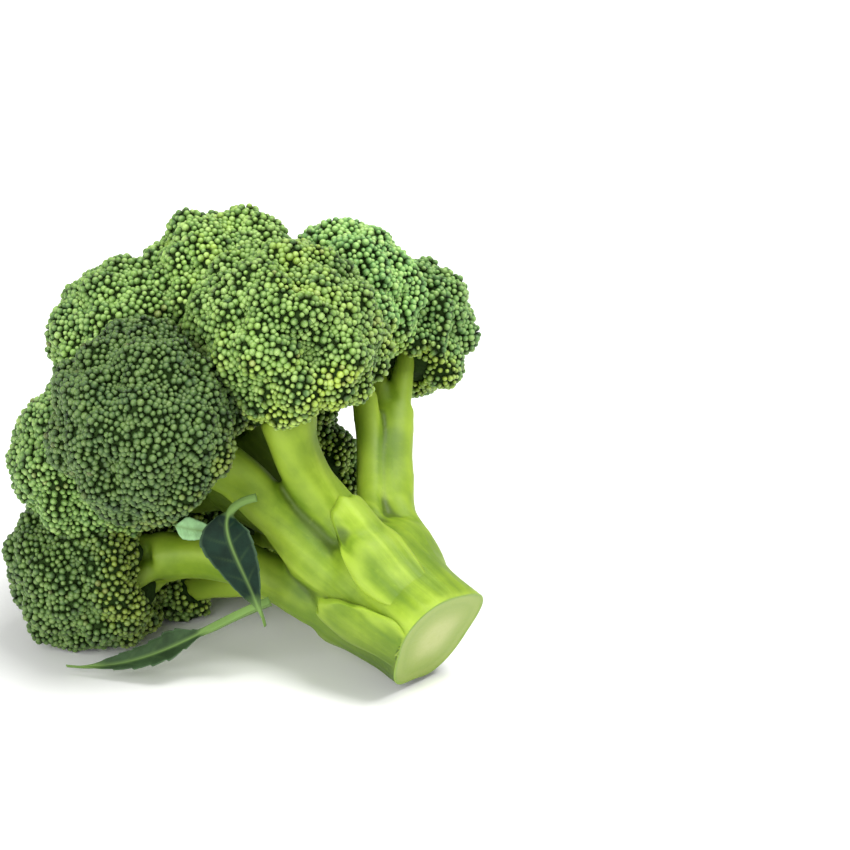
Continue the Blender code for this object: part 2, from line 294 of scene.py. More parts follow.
def bud_finish(settings):
    """Waxy closed buds: each with its own green, painted shade at its foot and a painted highlight at its
    tip, yellower at a crown's margin, and each crown painted lighter or darker by its lightness.
    """
    finish, tree, place = new_finish("bud_skin")
    one, cluster, rise, margin = tree.attributes("bud_random", "cluster_tone", "bud_rise", "margin")
    blue, yellow, light = tree.attributes("blue", "yellow", "light")
    patch = tree.smooth_step(tree.noise(place, 42.0), 0.42, 0.68)
    green = tree.mix(one * 0.6 + cluster * 0.4, settings.dark, settings.green)
    green = tree.mix(blue * 0.55, green, settings.blue_green)
    ripe = margin * 0.6 + patch * yellow * 0.5 + cluster * 0.3 + one * 0.3 + yellow * 0.12
    green = tree.layer(green, settings.yellow_green, ripe, 0.62, 1.2)
    # Pale buds at random, more of them where a crown has more painted light.
    green = tree.layer(green, settings.pale, one + light * 0.25, 0.72, 1.2, 0.5)
    green = tree.layer(green, settings.brown, cluster * 0.6 + one * 0.4, 0.9, 0.97, 0.5)
    # Painted highlight: each bud paler at its tip.
    green = tree.layer(green, settings.pale, rise, 0.78, 1.0, 0.5)
    # Painted shade at the foot of each bud, from the bud foot colour.
    foot_shade = tree.layer(settings.foot, (1, 1, 1), rise, 0.12, 0.95)
    # Painted light and shade: each crown's buds are multiplied by 0.5 to 1.5 by its lightness.
    crown_light = tree.mix(light, (0.5, 0.5, 0.5), (1.5, 1.5, 1.5))
    for veil in (foot_shade, crown_light):
        green = tree.mix(1.0, green, veil, "MULTIPLY")
    set_surface(tree, {
        "Base Color": green,
        "Roughness": 0.5 - one * 0.12,
        "Specular IOR Level": 0.3,
        "Subsurface Weight": 0.08,
        "Subsurface Radius": (0.4, 0.8, 0.2),
        "Subsurface Scale": 1.5 * MM,
    }, (tree.noise(place, 2600.0), 0.25, 0.2 * MM))
    return finish


def bed_shade_finish(settings):
    """The dark surface between and below the buds: painted shade, near-black in the gaps between them."""
    finish, tree, place = new_finish("bud_bed")
    dark, mid = ([share * part for part in settings.dark] for share in (0.18, 0.4))
    base = tree.mix(tree.noise(place, 900.0, 3.0), dark, mid)
    set_surface(tree, {"Base Color": base, "Roughness": 0.9, "Specular IOR Level": 0.1})
    return finish


def stem_finish(settings):
    """Waxy stem skin: fine fibres along the stem, soft blotches, painted shade deep between stems, on the
    stalk's lower side, in creases and towards the crowns, and painted highlights on ridges.
    """
    finish, tree, place = new_finish("stem_skin")
    fibre, depth, crown, ridge = tree.attributes("fibre", "depth", "towards_crown", "ridge")
    streak = tree.noise(fibre.other("Vector"), 1.0, 4.0, 0.6)
    broad = tree.noise(fibre.other("Vector"), 0.22, 3.0, 0.55)
    blotch = tree.noise(place, 75.0, 4.0, 0.55)
    fine = tree.noise(place, 700.0, 3.0, 0.6)
    tone = broad * 0.45 + blotch * 0.55 + streak * 0.16 - 0.08
    base = tree.layer(settings.deep, settings.skin, tone, 0.34, 0.68)
    base = tree.layer(base, settings.bloom_and_highlight, tone, 0.58, 0.80, 0.8)
    # Painted highlight on the ridges.
    base = tree.layer(base, settings.bloom_and_highlight, ridge, 0.60, 0.95, 0.4)
    # Painted shade in the hollows and creases.
    base = tree.layer(base, settings.crease_shade, 0.5 - ridge, 0.02, 0.4, 0.85)
    # Painted shade from depth: deep between the stems and on the stalk's lower side.
    base = tree.mix(depth, base, settings.shade)
    # Painted shade under the crowns: the skin turns towards deep green near them.
    base = tree.mix(crown * 0.35, base, settings.deep)
    base = tree.layer(base, settings.bloom_and_highlight, fine, 0.55, 0.8, 0.12)
    set_surface(tree, {
        "Base Color": base,
        "Roughness": 0.46 + fine * 0.14,
        "Specular IOR Level": 0.28,
        "Subsurface Weight": 0.2,
        "Subsurface Radius": (0.7, 1.0, 0.25),
        "Subsurface Scale": 3 * MM,
    }, (streak * 0.7 + fine * 0.12, 0.35, 0.6 * MM))
    return finish


def cut_finish(settings):
    """The moist cut face: pale pith, a brighter ring of fibres and a green rim."""
    finish, tree, place = new_finish("cut_face")
    blotch = tree.noise(place, 120.0, 4.0, 0.6)
    fine = tree.noise(place, 900.0, 4.0, 0.65)
    inward = tree.attributes("rim")[0] + (blotch - 0.5) * 0.16
    base = tree.layer(settings.rim, settings.flesh, inward, 0.02, 0.10)
    ring = tree.smooth_step(inward, 0.16, 0.24) * (1 - tree.smooth_step(inward, 0.26, 0.38))
    base = tree.mix(ring * 0.6, base, settings.vein)
    base = tree.layer(base, settings.pith, inward, 0.34, 0.80)
    base = tree.layer(base, settings.flesh, fine, 0.5, 0.75, 0.25)
    set_surface(tree, {
        "Base Color": base,
        "Roughness": 0.36 + fine * 0.2,
        "Subsurface Weight": 0.3,
        "Subsurface Radius": (0.9, 1.0, 0.35),
        "Subsurface Scale": 4 * MM,
    }, (fine * 0.5 + blotch * 0.5, 0.4, 0.6 * MM))
    return finish


def leaf_finish(settings, name, face):
    """Waxy leaf: blue-green above, greyer below, with a pale midrib and veins."""
    finish, tree, place = new_finish(name)
    vein, back, edge = tree.attributes("vein", "under_side", "edge")
    blotch = tree.noise(place, 160.0, 4.0, 0.6)
    fine = tree.noise(place, 1500.0, 3.0, 0.6)
    above = tree.layer(face, [1.7 * part for part in face], blotch, 0.3, 0.7)
    below = tree.layer(settings.under, [1.25 * part for part in settings.under], blotch, 0.3, 0.7)
    base = tree.mix(back, above, below)
    base = tree.mix(vein * 0.85, base, settings.midrib)
    base = tree.layer(base, settings.margin, edge, 0.86, 1.0, 0.55)
    values = {"Base Color": base, "Roughness": 0.44 + fine * 0.2, "Specular IOR Level": 0.08}
    set_surface(tree, values, (fine * 0.4 + blotch * 0.6, 0.3, 0.4 * MM))
    return finish



# ---------------------------------------------------------------- reading the CAD frame

def node_points(name):
    """All corners of a CAD node as an array."""
    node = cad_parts[name]
    places = np.empty(3 * len(node.data.vertices))
    node.data.vertices.foreach_get("co", places)
    turn = np.array(node.matrix_world)
    return places.reshape(-1, 3) @ turn[:3, :3].T + turn[:3, 3]


def merged_copy(name):
    """A bmesh of a CAD node with its loose triangles joined up."""
    bm = bmesh.new()
    bm.from_mesh(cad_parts[name].data)
    bmesh.ops.remove_doubles(bm, verts=bm.verts, dist=1e-5)
    return bm


def foot_ring():
    """The corners of the stalk's cut face, which are its lowest along its axis."""
    points = node_points("main_stalk")
    heights = points @ np.array(AXIS)
    return points[heights < heights.min() + 0.1 * MM]


AXIS = Vector((cos(AXIS_TURN) * cos(AXIS_RISE), sin(AXIS_TURN) * cos(AXIS_RISE), sin(AXIS_RISE)))
ACROSS = AXIS.cross(Vector((0, 0, 1))).normalized()
UPWARD = ACROSS.cross(AXIS)
FOOT = Vector((foot_ring().max(0) + foot_ring().min(0)) / 2)


def radial(azimuth):
    """Unit direction away from the stalk's axis at an azimuth in degrees."""
    angle = radians(azimuth)
    return ACROSS * cos(angle) + UPWARD * sin(angle)


def spot(reach, azimuth, height):
    """World point at a distance from the axis, an azimuth and a height above the cut face."""
    return FOOT + radial(azimuth) * reach + AXIS * height


def middle(name):
    """Middle of a CAD node's box."""
    low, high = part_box(name)
    return (low + high) / 2


def azimuth_of(point):
    """Azimuth of a point round the stalk's axis, in degrees."""
    away = point - FOOT
    return degrees(atan2(away.dot(UPWARD), away.dot(ACROSS)))


def stem_approach(name):
    """Direction in which an outer stem enters its crown: outwards and on towards the dome."""
    crown = middle(name + "_crown") - FOOT
    reach = (crown - AXIS * crown.dot(AXIS)).length
    outward = 0.80 if reach > FAR_CROWN else 0.72
    away = radial(azimuth_of(middle(name + "_crown")))
    return (away * outward + AXIS * sqrt(1 - outward ** 2)).normalized()


def end_ring(name, direction):
    """Middle of a CAD stem's last ring of corners in a direction."""
    points = np.unique(node_points(name + "_stem").round(6), axis=0)
    heights = points @ np.array(direction)
    return Vector(points[np.argsort(-heights)[:STEM_SIDES]].mean(0))


def stem_ends(name):
    """Base and end of an outer floret's CAD stem, and the width and depth of its middle."""
    base = end_ring(name, -AXIS)
    end = end_ring(name, stem_approach(name))
    points = node_points(name + "_stem") - np.array(base)
    outward = radial(azimuth_of(base))
    heights = points @ np.array(AXIS)
    ring = points[heights < heights.min() + 6 * MM]
    width = np.ptp(ring @ np.array(AXIS.cross(outward))) / 2
    depth = np.ptp(ring @ np.array(outward)) / 2
    return base, end, width, depth


def within(name, x, y, z):
    """A point in a CAD node's box, as shares of its sides."""
    low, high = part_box(name)
    return Vector((low[i] + (high[i] - low[i]) * share for i, share in enumerate((x, y, z))))


# ---------------------------------------------------------------- shared building

def add_object(name, mesh):
    """Link a new object for a mesh."""
    made = bpy.data.objects.new(name, mesh)
    bpy.context.collection.objects.link(made)
    return made


def mesh_from(bm, name):
    """A mesh from a bmesh, which is freed."""
    mesh = bpy.data.meshes.new(name)
    bm.to_mesh(mesh)
    bm.free()
    return mesh


def bezier(points, t):
    """Point and unit tangent of a cubic curve."""
    a, b, c, d = points
    s = 1 - t
    place = a * s ** 3 + b * (3 * s * s * t) + c * (3 * s * t * t) + d * t ** 3
    slope = (b - a) * (s * s) + (c - b) * (2 * s * t) + (d - c) * (t * t)
    return place, slope.normalized()


def smooth(low, high, value):
    """0 below low, 1 above high and an even S between them."""
    t = min(max((value - low) / (high - low), 0), 1)
    return t * t * (3 - 2 * t)


def join_rows(bm, rows):
    """Faces between closed rows of corners, and one across each end."""
    count = len(rows[0])
    for low, high in zip(rows, rows[1:]):
        for i in range(count):
            j = (i + 1) % count
            bm.faces.new((low[i], low[j], high[j], high[i]))
    bm.faces.new(rows[0][::-1])
    bm.faces.new(rows[-1])


def loft(bm, rings):
    """Add a closed tube through rings of points."""
    join_rows(bm, [[bm.verts.new(point) for point in ring] for ring in rings])


def turn_out(bm):
    """Turn a closed shape's faces outwards and shade them smooth."""
    bmesh.ops.recalc_face_normals(bm, faces=bm.faces)
    for face in bm.faces:
        face.smooth = True


def tube(bm, curve, radii, wide_hint, steps=22, sides=18, ripple=0.0, until=1.0):
    """Add a tube along a cubic curve, or part of it. radii(t) gives its width and depth."""
    rings = []
    for step in range(steps + 1):
        t = until * step / steps
        place, tangent = bezier(curve, t)
        wide = (wide_hint - tangent * wide_hint.dot(tangent)).normalized()
        deep = tangent.cross(wide)
        width, depth = radii(t)
        ring = []
        for side in range(sides):
            angle = 2 * pi * side / sides
            swell = 1 + ripple * sin(3 * angle + 4 * t) * 0.5 + ripple * sin(5 * angle - 3 * t) * 0.3
            ring.append(place + (wide * width * cos(angle) + deep * depth * sin(angle)) * swell)
        rings.append(ring)
    loft(bm, rings)


def evaluated_mesh(owner):
    """The object's mesh as its modifiers make it."""
    graph = bpy.context.evaluated_depsgraph_get()
    return bpy.data.meshes.new_from_object(owner.evaluated_get(graph), depsgraph=graph)


def settle(owner):
    """Replace an object's live modifiers by their result and let it ride on the head."""
    mesh = evaluated_mesh(owner)
    mesh.name = owner.name
    owner.modifiers.clear()
    owner.data = mesh
    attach(owner, "root")


def store(mesh, name, values, kind="FLOAT"):
    """Write one attribute of a mesh's points."""
    layer = mesh.attributes.new(name, kind, "POINT")
    layer.data.foreach_set("vector" if kind == "FLOAT_VECTOR" else "value", np.ravel(values))


# ---------------------------------------------------------------- crowns of buds

BUD_HEIGHT = 1.16


def bead_mesh():
    """One closed bud of unit radius: a small ovoid, with its own bake map and height."""
    sides = 7
    turns = (31, 60, 90, 122)
    bm = bmesh.new()
    rise = bm.verts.layers.float.new("bud_rise")
    chart = bm.loops.layers.uv.new("bead_map")
    top = bm.verts.new((0, 0, BUD_HEIGHT))
    top[rise] = 1.0
    spots = {top: (0.5, 0.5)}
    rows = []
    for number, turn in enumerate(turns):
        row = []
        for side in range(sides):
            angle = 2 * pi * (side + 0.5 * (number % 2)) / sides
            flat = sin(radians(turn))
            vert = bm.verts.new((flat * cos(angle), flat * sin(angle), BUD_HEIGHT * cos(radians(turn))))
            vert[rise] = 0.5 + 0.5 * cos(radians(min(turn * 1.3, 180)))
            reach = 0.44 * turn / turns[-1]
            spots[vert] = (0.5 + reach * cos(angle), 0.5 + reach * sin(angle))
            row.append(vert)
        rows.append(row)
    for side in range(sides):
        bm.faces.new((top, rows[0][side], rows[0][(side + 1) % sides]))
    for number, (upper, lower) in enumerate(zip(rows, rows[1:])):
        for side in range(sides):
            after = (side + 1) % sides
            if number % 2 == 0:
                bm.faces.new((upper[side], lower[side], upper[after]))
                bm.faces.new((upper[after], lower[side], lower[after]))
            else:
                bm.faces.new((upper[side], lower[side], lower[after]))
                bm.faces.new((upper[side], lower[after], upper[after]))
    cap = bm.faces.new(rows[-1][::-1])
    bmesh.ops.recalc_face_normals(bm, faces=bm.faces)
    for face in bm.faces:
        for loop in face.loops:
            x, y = spots[loop.vert]
            # The hidden cap has only a small corner of the map.
            if face == cap:
                x, y = 0.03 + (x - 0.06) * 0.05, 0.03 + (y - 0.06) * 0.05
            loop[chart].uv = (x, y)
    return mesh_from(bm, "bead")


def geometry_tree(name, sockets):
    """A Geometry Nodes tree with named inputs, and its inputs as wires."""
    group = bpy.data.node_groups.new(name, "GeometryNodeTree")
    group.interface.new_socket("Geometry", in_out="INPUT", socket_type="NodeSocketGeometry")
    for label, kind in sockets:
        group.interface.new_socket(label, in_out="INPUT", socket_type="NodeSocket" + kind)
    group.interface.new_socket("Geometry", in_out="OUTPUT", socket_type="NodeSocketGeometry")
    tree = NodeTree(group)
    entry = group.nodes.new("NodeGroupInput")
    given = {socket.name: Wire(tree, socket) for socket in entry.outputs if socket.name}
    return group, tree, given


BUD_MEASURES = (
    "Bud Radius", "Bud Spacing", "Clearance", "Swelling",
    "Lobe Size", "Lobe Depth", "Cluster Size", "Cluster Depth",
)
BUD_SOCKETS = (
    ("Neighbours", "Object"),
    ("Bud", "Object"),
    *((label, "Float") for label in (*BUD_MEASURES, "Half Size", "Blue", "Yellow", "Light")),
    ("Centre", "Vector"),
    ("Stem Side", "Vector"),
    ("Seed", "Int"),
    ("Bud Material", "Material"),
    ("Bed Material", "Material"),
)
# The buds' share of the bake map; the bed has the strip above it.
MAP_SHARE = 0.86
# How high the bed stays above the ground.
BED_CLEARANCE = 0.3 * MM
# How much denser than its spacing allows the buds are tried.
BUD_TRIES = 9.0
FIRST_SEED = 11


def keep_map(tree, geometry, u, v):
    """Store the bake map."""
    spot_on_map = tree.node("ShaderNodeCombineXYZ", {}, {"X": u, "Y": v})
    return tree.keep(geometry, "OFBake", spot_on_map, "CORNER", "FLOAT2")


def bed_surface(tree, given):
    """The crown's smooth surface, swollen into small lobes and kept above the ground."""
    place = tree.node("GeometryNodeInputPosition")
    normal = tree.node("GeometryNodeInputNormal")
    even = tree.node("GeometryNodeSubdivisionSurface", {}, {"Mesh": given["Geometry"], "Level": 2})
    cells = {"Vector": place, "Scale": 1 / given["Lobe Size"], "Smoothness": 0.12}
    lobe = tree.node("ShaderNodeTexVoronoi", {"feature": "SMOOTH_F1"}, cells)
    cluster = tree.node("ShaderNodeTexVoronoi", {}, {"Vector": place, "Scale": 1 / given["Cluster Size"]})
    rise = (0.30 - lobe * lobe * 1.5) * given["Lobe Depth"] + given["Swelling"]
    rise = rise + (0.30 - cluster * cluster * 1.4) * given["Cluster Depth"]
    bed = tree.node("GeometryNodeSetPosition", {}, {"Geometry": even, "Offset": normal * rise})
    lift = tree.math("MAXIMUM", BED_CLEARANCE - tree.part(place, "Z"), 0.0)
    lift = tree.node("ShaderNodeCombineXYZ", {}, {"Z": lift})
    bed = tree.node("GeometryNodeSetPosition", {}, {"Geometry": bed, "Offset": lift})
    return tree.node("GeometryNodeSetShadeSmooth", {}, {"Geometry": bed})


def bed_with_map(tree, given, bed):
    """Give the bed its material and its part of the bake map: front and back side by side."""
    size = tree.vector("SCALE", {0: (1.0, 1.0, 1.0), "Scale": given["Half Size"]})
    local = (tree.node("GeometryNodeInputPosition") - given["Centre"]) / size
    facing = tree.part(tree.node("GeometryNodeInputNormal"), "Y")
    settings = {"domain": "FACE", "data_type": "FLOAT"}
    behind = tree.node("GeometryNodeFieldOnDomain", settings, {0: tree.math("GREATER_THAN", facing, 0.0)})
    u = 0.25 + tree.part(local, "X") * 0.23 + behind * 0.5
    v = 0.5 * (1 + MAP_SHARE) + tree.part(local, "Z") * 0.48 * (1 - MAP_SHARE)
    bed = keep_map(tree, bed, u, v)
    return tree.node("GeometryNodeSetMaterial", {}, {"Geometry": bed, "Material": given["Bed Material"]})


def bud_points(tree, given, bed):
    """Points for the buds, gathered into small clusters and kept clear of the other pieces."""
    spacing = given["Bud Spacing"]
    inputs = {"Mesh": bed, "Distance Min": spacing, "Seed": given["Seed"]}
    inputs["Density Max"] = BUD_TRIES / (spacing * spacing)
    points = tree.node("GeometryNodeDistributePointsOnFaces", {"distribute_method": "POISSON"}, inputs)
    normal = points.other("Normal")
    place = tree.node("GeometryNodeInputPosition")
    cell = tree.node("ShaderNodeTexVoronoi", {}, {"Vector": place, "Scale": 1 / given["Cluster Size"]})
    spread = (place - cell.other("Position")) * (0.5 / given["Cluster Size"])
    outward = tree.vector("NORMALIZE", {0: place - given["Centre"]})
    facing = tree.vector("DOT_PRODUCT", {0: outward, 1: given["Stem Side"]}, "Value")
    lean = tree.vector("NORMALIZE", {0: normal + spread})
    points = tree.keep(points, "lean", lean, "POINT", "FLOAT_VECTOR")
    points = tree.keep(points, "cluster_tone", tree.part(cell.other("Color"), "X"))
    points = tree.keep(points, "margin", tree.smooth_step(facing, 0.1, 0.8))
    points = tree.keep(points, "under", tree.math("GREATER_THAN", facing, 0.83))
    rise = normal * (given["Bud Radius"] * 0.45)
    points = tree.node("GeometryNodeSetPosition", {}, {"Geometry": points, "Offset": rise})
    other = tree.node("GeometryNodeObjectInfo", {}, {"Object": given["Neighbours"]}, "Geometry")
    near = tree.node("GeometryNodeProximity", {}, {0: other}, "Distance")
    touching = tree.math("LESS_THAN", near, given["Clearance"])
    sunk = tree.math("LESS_THAN", tree.part(place, "Z"), given["Bud Radius"] * 1.25)
    gone = tree.math("MAXIMUM", touching, tree.math("MAXIMUM", sunk, tree.named("under")))
    erased = {"Geometry": points, "Selection": gone}
    return tree.node("GeometryNodeDeleteGeometry", {"domain": "POINT"}, erased)


def bud_instances(tree, given, points):
    """A bud on each point, leaning out of its cluster, with its own size, turn and map cell."""
    lean = tree.named("lean", "FLOAT_VECTOR")
    upright = tree.node("FunctionNodeAlignRotationToVector", {"axis": "Z"}, {"Vector": lean})
    turn = {"Axis": (0, 0, 1), "Angle": tree.random(0.0, 2 * pi, 3)}
    turned = {"Rotation": upright, "Rotate By": tree.node("FunctionNodeAxisAngleToRotation", {}, turn)}
    rotation = tree.node("FunctionNodeRotateRotation", {"rotation_space": "LOCAL"}, turned)
    size = given["Bud Radius"] * tree.random(0.70, 1.22, 5) * (1 - tree.named("margin") * 0.14)
    scale = tree.vector("SCALE", {0: (1.0, 1.0, 1.0), "Scale": size})
    bud = tree.node("GeometryNodeObjectInfo", {}, {"Object": given["Bud"]}, "Geometry")
    inputs = {"Points": points, "Instance": bud, "Rotation": rotation, "Scale": scale}
    placed = tree.node("GeometryNodeInstanceOnPoints", {}, inputs)
    index = tree.node("GeometryNodeInputIndex")
    placed = tree.keep(placed, "bud_number", index, "INSTANCE", "INT")
    return tree.keep(placed, "bud_random", tree.random(0.0, 1.0, 8), "INSTANCE")


def buds_with_map(tree, given, buds):
    """Make the buds plain mesh, give each its cell of the bake map and their material."""
    settings = {"component": "INSTANCES"}
    count = tree.node("GeometryNodeAttributeDomainSize", settings, {0: buds}, "Instance Count")
    across = tree.math("CEIL", tree.math("SQRT", count))
    buds = tree.node("GeometryNodeRealizeInstances", {}, {"Geometry": buds})
    number = tree.named("bud_number")
    row = tree.math("FLOOR", (number + 0.5) / across)
    column = number - row * across
    chart = tree.named("bead_map", "FLOAT_VECTOR")
    u = (column + tree.part(chart, "X")) / across
    v = (row + tree.part(chart, "Y")) / across * MAP_SHARE
    buds = keep_map(tree, buds, u, v)
    for name in ("Blue", "Yellow", "Light"):
        buds = tree.keep(buds, name.lower(), given[name])
    buds = tree.node("GeometryNodeSetShadeSmooth", {}, {"Geometry": buds})
    return tree.node("GeometryNodeSetMaterial", {}, {"Geometry": buds, "Material": given["Bud Material"]})


def bud_tree():
    """The tree that turns a crown's plain surface into a lobed bed covered with buds."""
    group, tree, given = geometry_tree("bud_cover", BUD_SOCKETS)
    bed = bed_surface(tree, given)
    points = bud_points(tree, given, bed)
    buds = buds_with_map(tree, given, bud_instances(tree, given, points))
    both = tree.node("GeometryNodeJoinGeometry", {}, {})
    tree.feed(both.socket.node.inputs[0], buds)
    tree.feed(both.socket.node.inputs[0], bed_with_map(tree, given, bed))
    exit_node = group.nodes.new("NodeGroupOutput")
    tree.feed(exit_node.inputs["Geometry"], both)
    return group


def set_inputs(modifier, values):
    """Set a modifier's inputs by the identifiers of the tree's sockets."""
    for item in modifier.node_group.interface.items_tree:
        if item.item_type == "SOCKET" and item.in_out == "INPUT" and item.name in values:
            modifier[item.identifier] = values[item.name]


def joined_nodes(names):
    """One object of several CAD nodes, against which the buds keep clear."""
    bm = bmesh.new()
    for name in names:
        bm.from_mesh(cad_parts[name].data)
    return add_object("neighbours", mesh_from(bm, "neighbours"))


def stem_side(name):
    """Centre of a crown, and the direction from it to the stem or core that carries it."""
    centre = middle(name + "_crown")
    if name in OUTER_CROWNS:
        return centre, -stem_approach(name)
    return centre, (spot(0, 0, CROWN_HEART) - centre).normalized()


def checked(piece):
    """Stop if a piece did not get its faces."""
    if len(piece.data.polygons) < FEWEST_FACES:
        raise RuntimeError(f"{piece.name} has too few faces")


def grow_crown(name, number, group, bead, finishes, settings):
    """One crown: the CAD surface made smooth, lobed and covered with buds."""
    node = name + "_crown"
    crown = add_object("buds_" + name, mesh_from(merged_copy(node), node))
    others = joined_nodes([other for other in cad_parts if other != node])
    centre, side = stem_side(name)
    low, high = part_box(node)
    blue, yellow, light = CROWN_TINTS.get(name, USUAL_TINT)
    modifier = crown.modifiers.new("bud_cover", "NODES")
    modifier.node_group = group
    values = {label: getattr(settings, label.lower().replace(" ", "_")) for label in BUD_MEASURES}
    values["Swelling"] += SWELLINGS.get(name, 0) * MM
    set_inputs(modifier, {
        **values,
        "Neighbours": others,
        "Bud": bead,
        "Centre": centre,
        "Stem Side": side,
        "Half Size": max(high - low) / 2 + settings.lobe_depth,
        "Blue": blue,
        "Yellow": yellow,
        "Light": light,
        "Seed": FIRST_SEED + number,
        "Bud Material": finishes[0],
        "Bed Material": finishes[1],
    })
    settle(crown)
    for extra in ("lean", "under", "bead_map", "bud_number"):
        layer = crown.data.attributes.get(extra)
        if layer:
            crown.data.attributes.remove(layer)
    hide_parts(node)
    bpy.data.objects.remove(others)
    return crown


# ---------------------------------------------------------------- stalk and stems

def stem_curve(name):
    """Cubic curve of an outer stem from the stalk's top to its crown, and its width and depth."""
    base, end, width, depth = stem_ends(name)
    away = base - FOOT
    outward = away - AXIS * away.dot(AXIS)
    splay = (outward.length - CORE_FOOT_RADIUS) * STEM_SPLAY / STALK_LENGTH
    leave = (AXIS + outward.normalized() * splay).normalized()
    approach = stem_approach(name)
    shift = SHIFTS.get(name, (0, 0))
    bend = ACROSS * shift[0] * MM + UPWARD * shift[1] * MM
    pull = (end - base).length
    curve = (base, base + leave * pull * 0.42 + bend, end - approach * pull * 0.30 + bend, end)
    return curve, outward.normalized(), width, depth


def stem_radii(width, depth, swell):
    """Width and depth along a stem: slimmer at mid length, wider where it branches."""
    def radii(t):
        share = 1.0 - 0.10 * sin(pi * t) + swell * smooth(0.7, 1, t)
        return width * share, depth * share
    return radii


def add_root(bm, curve, outward, width, depth, sink):
    """The rib that a stem makes down the side of the stalk."""
    base, leave = bezier(curve, 0.0)
    down = base - AXIS * sink
    inner = down - outward * depth * 0.8
    lower = down.lerp(base, 0.35) - outward * depth * 0.25
    path = (inner, lower, base - leave * sink * 0.3, base + leave * 2 * MM)
    tube(bm, path, lambda t: (width * (0.72 + 0.28 * t), depth * (0.75 + 0.25 * t)), AXIS.cross(outward), 14)


def add_branches(bm, name, curve, width):
    """The few thick branches into which a stem splits below its crown."""
    count, start_share = FORKS.get(name, USUAL_FORK)
    crown = middle(name + "_crown")
    low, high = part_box(name + "_crown")
    reach = (high - low).length / (2 * sqrt(3)) * 0.62
    begin, tangent = bezier(curve, start_share)
    end, approach = bezier(curve, 1.0)
    side = approach.orthogonal().normalized()
    over = approach.cross(side)
    for number in range(count):
        angle = 2 * pi * (number + 0.35) / count
        spread = side * cos(angle) + over * sin(angle)
        goal = end + approach * reach * 0.42 + spread * reach * 0.72
        first = begin + spread * width * 0.34
        path = (first, first + tangent * reach * 0.5, goal - (spread + approach) * reach * 0.3, goal)
        thick = width * 0.95 / sqrt(count)
        tube(bm, path, lambda t: (thick * (1.2 - 0.35 * t), thick * (1.1 - 0.3 * t)), spread, 12, 12)


def foot_reach(azimuth):
    """Radius of the stalk's foot at an azimuth, eased between the rows of its outline."""
    rows = FOOT_OUTLINE + ((FOOT_OUTLINE[0][0] + 360, FOOT_OUTLINE[0][1]),)
    turn = (azimuth - rows[0][0]) % 360 + rows[0][0]
    for (low, here), (high, there) in zip(rows, rows[1:]):
        if turn <= high:
            return (here + (there - here) * smooth(low, high, turn)) * MM
    return rows[-1][1] * MM


def shoulder_rise(azimuth, along):
    """How far the stalk swells towards the stems that leave it low."""
    rise = 0.0
    for place, height in SHOULDERS:
        away = abs((azimuth - place + 180) % 360 - 180) / SHOULDER_WIDTH
        rise += height * MM * (1 - smooth(0, 1, away)) * smooth(0.1, 0.8, along)
    return rise


def foot_radius():
    """Radius of the CAD stalk at its cut face."""
    return float(np.linalg.norm(foot_ring() - np.array(FOOT), axis=1).mean())


# How far the stalk's body goes on below its cut and into the stems.
FOOT_SPARE = 4 * MM
TOP_SPARE = 13 * MM


def add_stalk_body(bm):
    """The stalk: four-sided at its foot, round above, longer than the CAD stalk where it is cut."""
    rings = []
    steps, sides = 24, 40
    round_reach = foot_radius()
    for step in range(steps + 1):
        height = -FOOT_SPARE + (STALK_LENGTH + TOP_SPARE) * step / steps
        along = height / STALK_LENGTH
        taper = 1 - 0.55 * smooth(0.6, 1.3, along)
        share = smooth(0.0, 0.6, along)
        ring = []
        for side in range(sides):
            azimuth = 360 * side / sides
            waist = 1 - 0.03 * sin(pi * smooth(0, 0.8, along)) + 0.10 * smooth(0.4, 1, along)
            swell = 1 + 0.014 * sin(radians(5 * azimuth + 200 * along))
            reach = foot_reach(azimuth) * (1 - share) + round_reach * share + shoulder_rise(azimuth, along)
            ring.append(spot(reach * swell * waist * taper, azimuth, height))
        rings.append(ring)
    loft(bm, rings)


def add_core(bm):
    """The middle stem, which swells under the inner crowns and branches into them."""
    start = spot(0, 0, STALK_LENGTH * 0.5)
    end = spot(0, 0, CORE_LENGTH)
    curve = (start, start.lerp(end, 0.33), start.lerp(end, 0.66), end)
    tube(bm, curve, lambda t: (7 * MM + 9 * MM * smooth(0.35, 1, t),) * 2, ACROSS, 20, 20)
    for name in INNER_CROWNS:
        goal = middle(name + "_crown")
        first = spot(0, 0, CORE_FORK)
        towards = (goal - first).normalized()
        path = (first, first + AXIS * 8 * MM, goal - towards * 12 * MM, first.lerp(goal, 0.72))
        tube(bm, path, lambda t: (6.5 * MM - 2 * MM * t,) * 2, towards.orthogonal(), 14, 12)


RELAX_ROUNDS = 12


def remeshed(bm, name, voxel):
    """One closed skin round overlapping tubes, relaxed so that they flow into each other."""
    piece = add_object(name, mesh_from(bm, name))
    remesh = piece.modifiers.new("skin", "REMESH")
    remesh.mode = "VOXEL"
    remesh.voxel_size = voxel
    relax = piece.modifiers.new("relax", "SMOOTH")
    relax.factor = 0.5
    relax.iterations = RELAX_ROUNDS
    mesh = evaluated_mesh(piece)
    piece.modifiers.clear()
    piece.data = mesh
    return piece


def sliced(bm, point, normal):
    """Cut away what lies beyond a plane. Returns the edges of the opening."""
    everything = bm.verts[:] + bm.edges[:] + bm.faces[:]
    cut = bmesh.ops.bisect_plane(bm, geom=everything, plane_co=point, plane_no=normal, clear_outer=True)
    return [item for item in cut["geom_cut"] if isinstance(item, bmesh.types.BMEdge)]


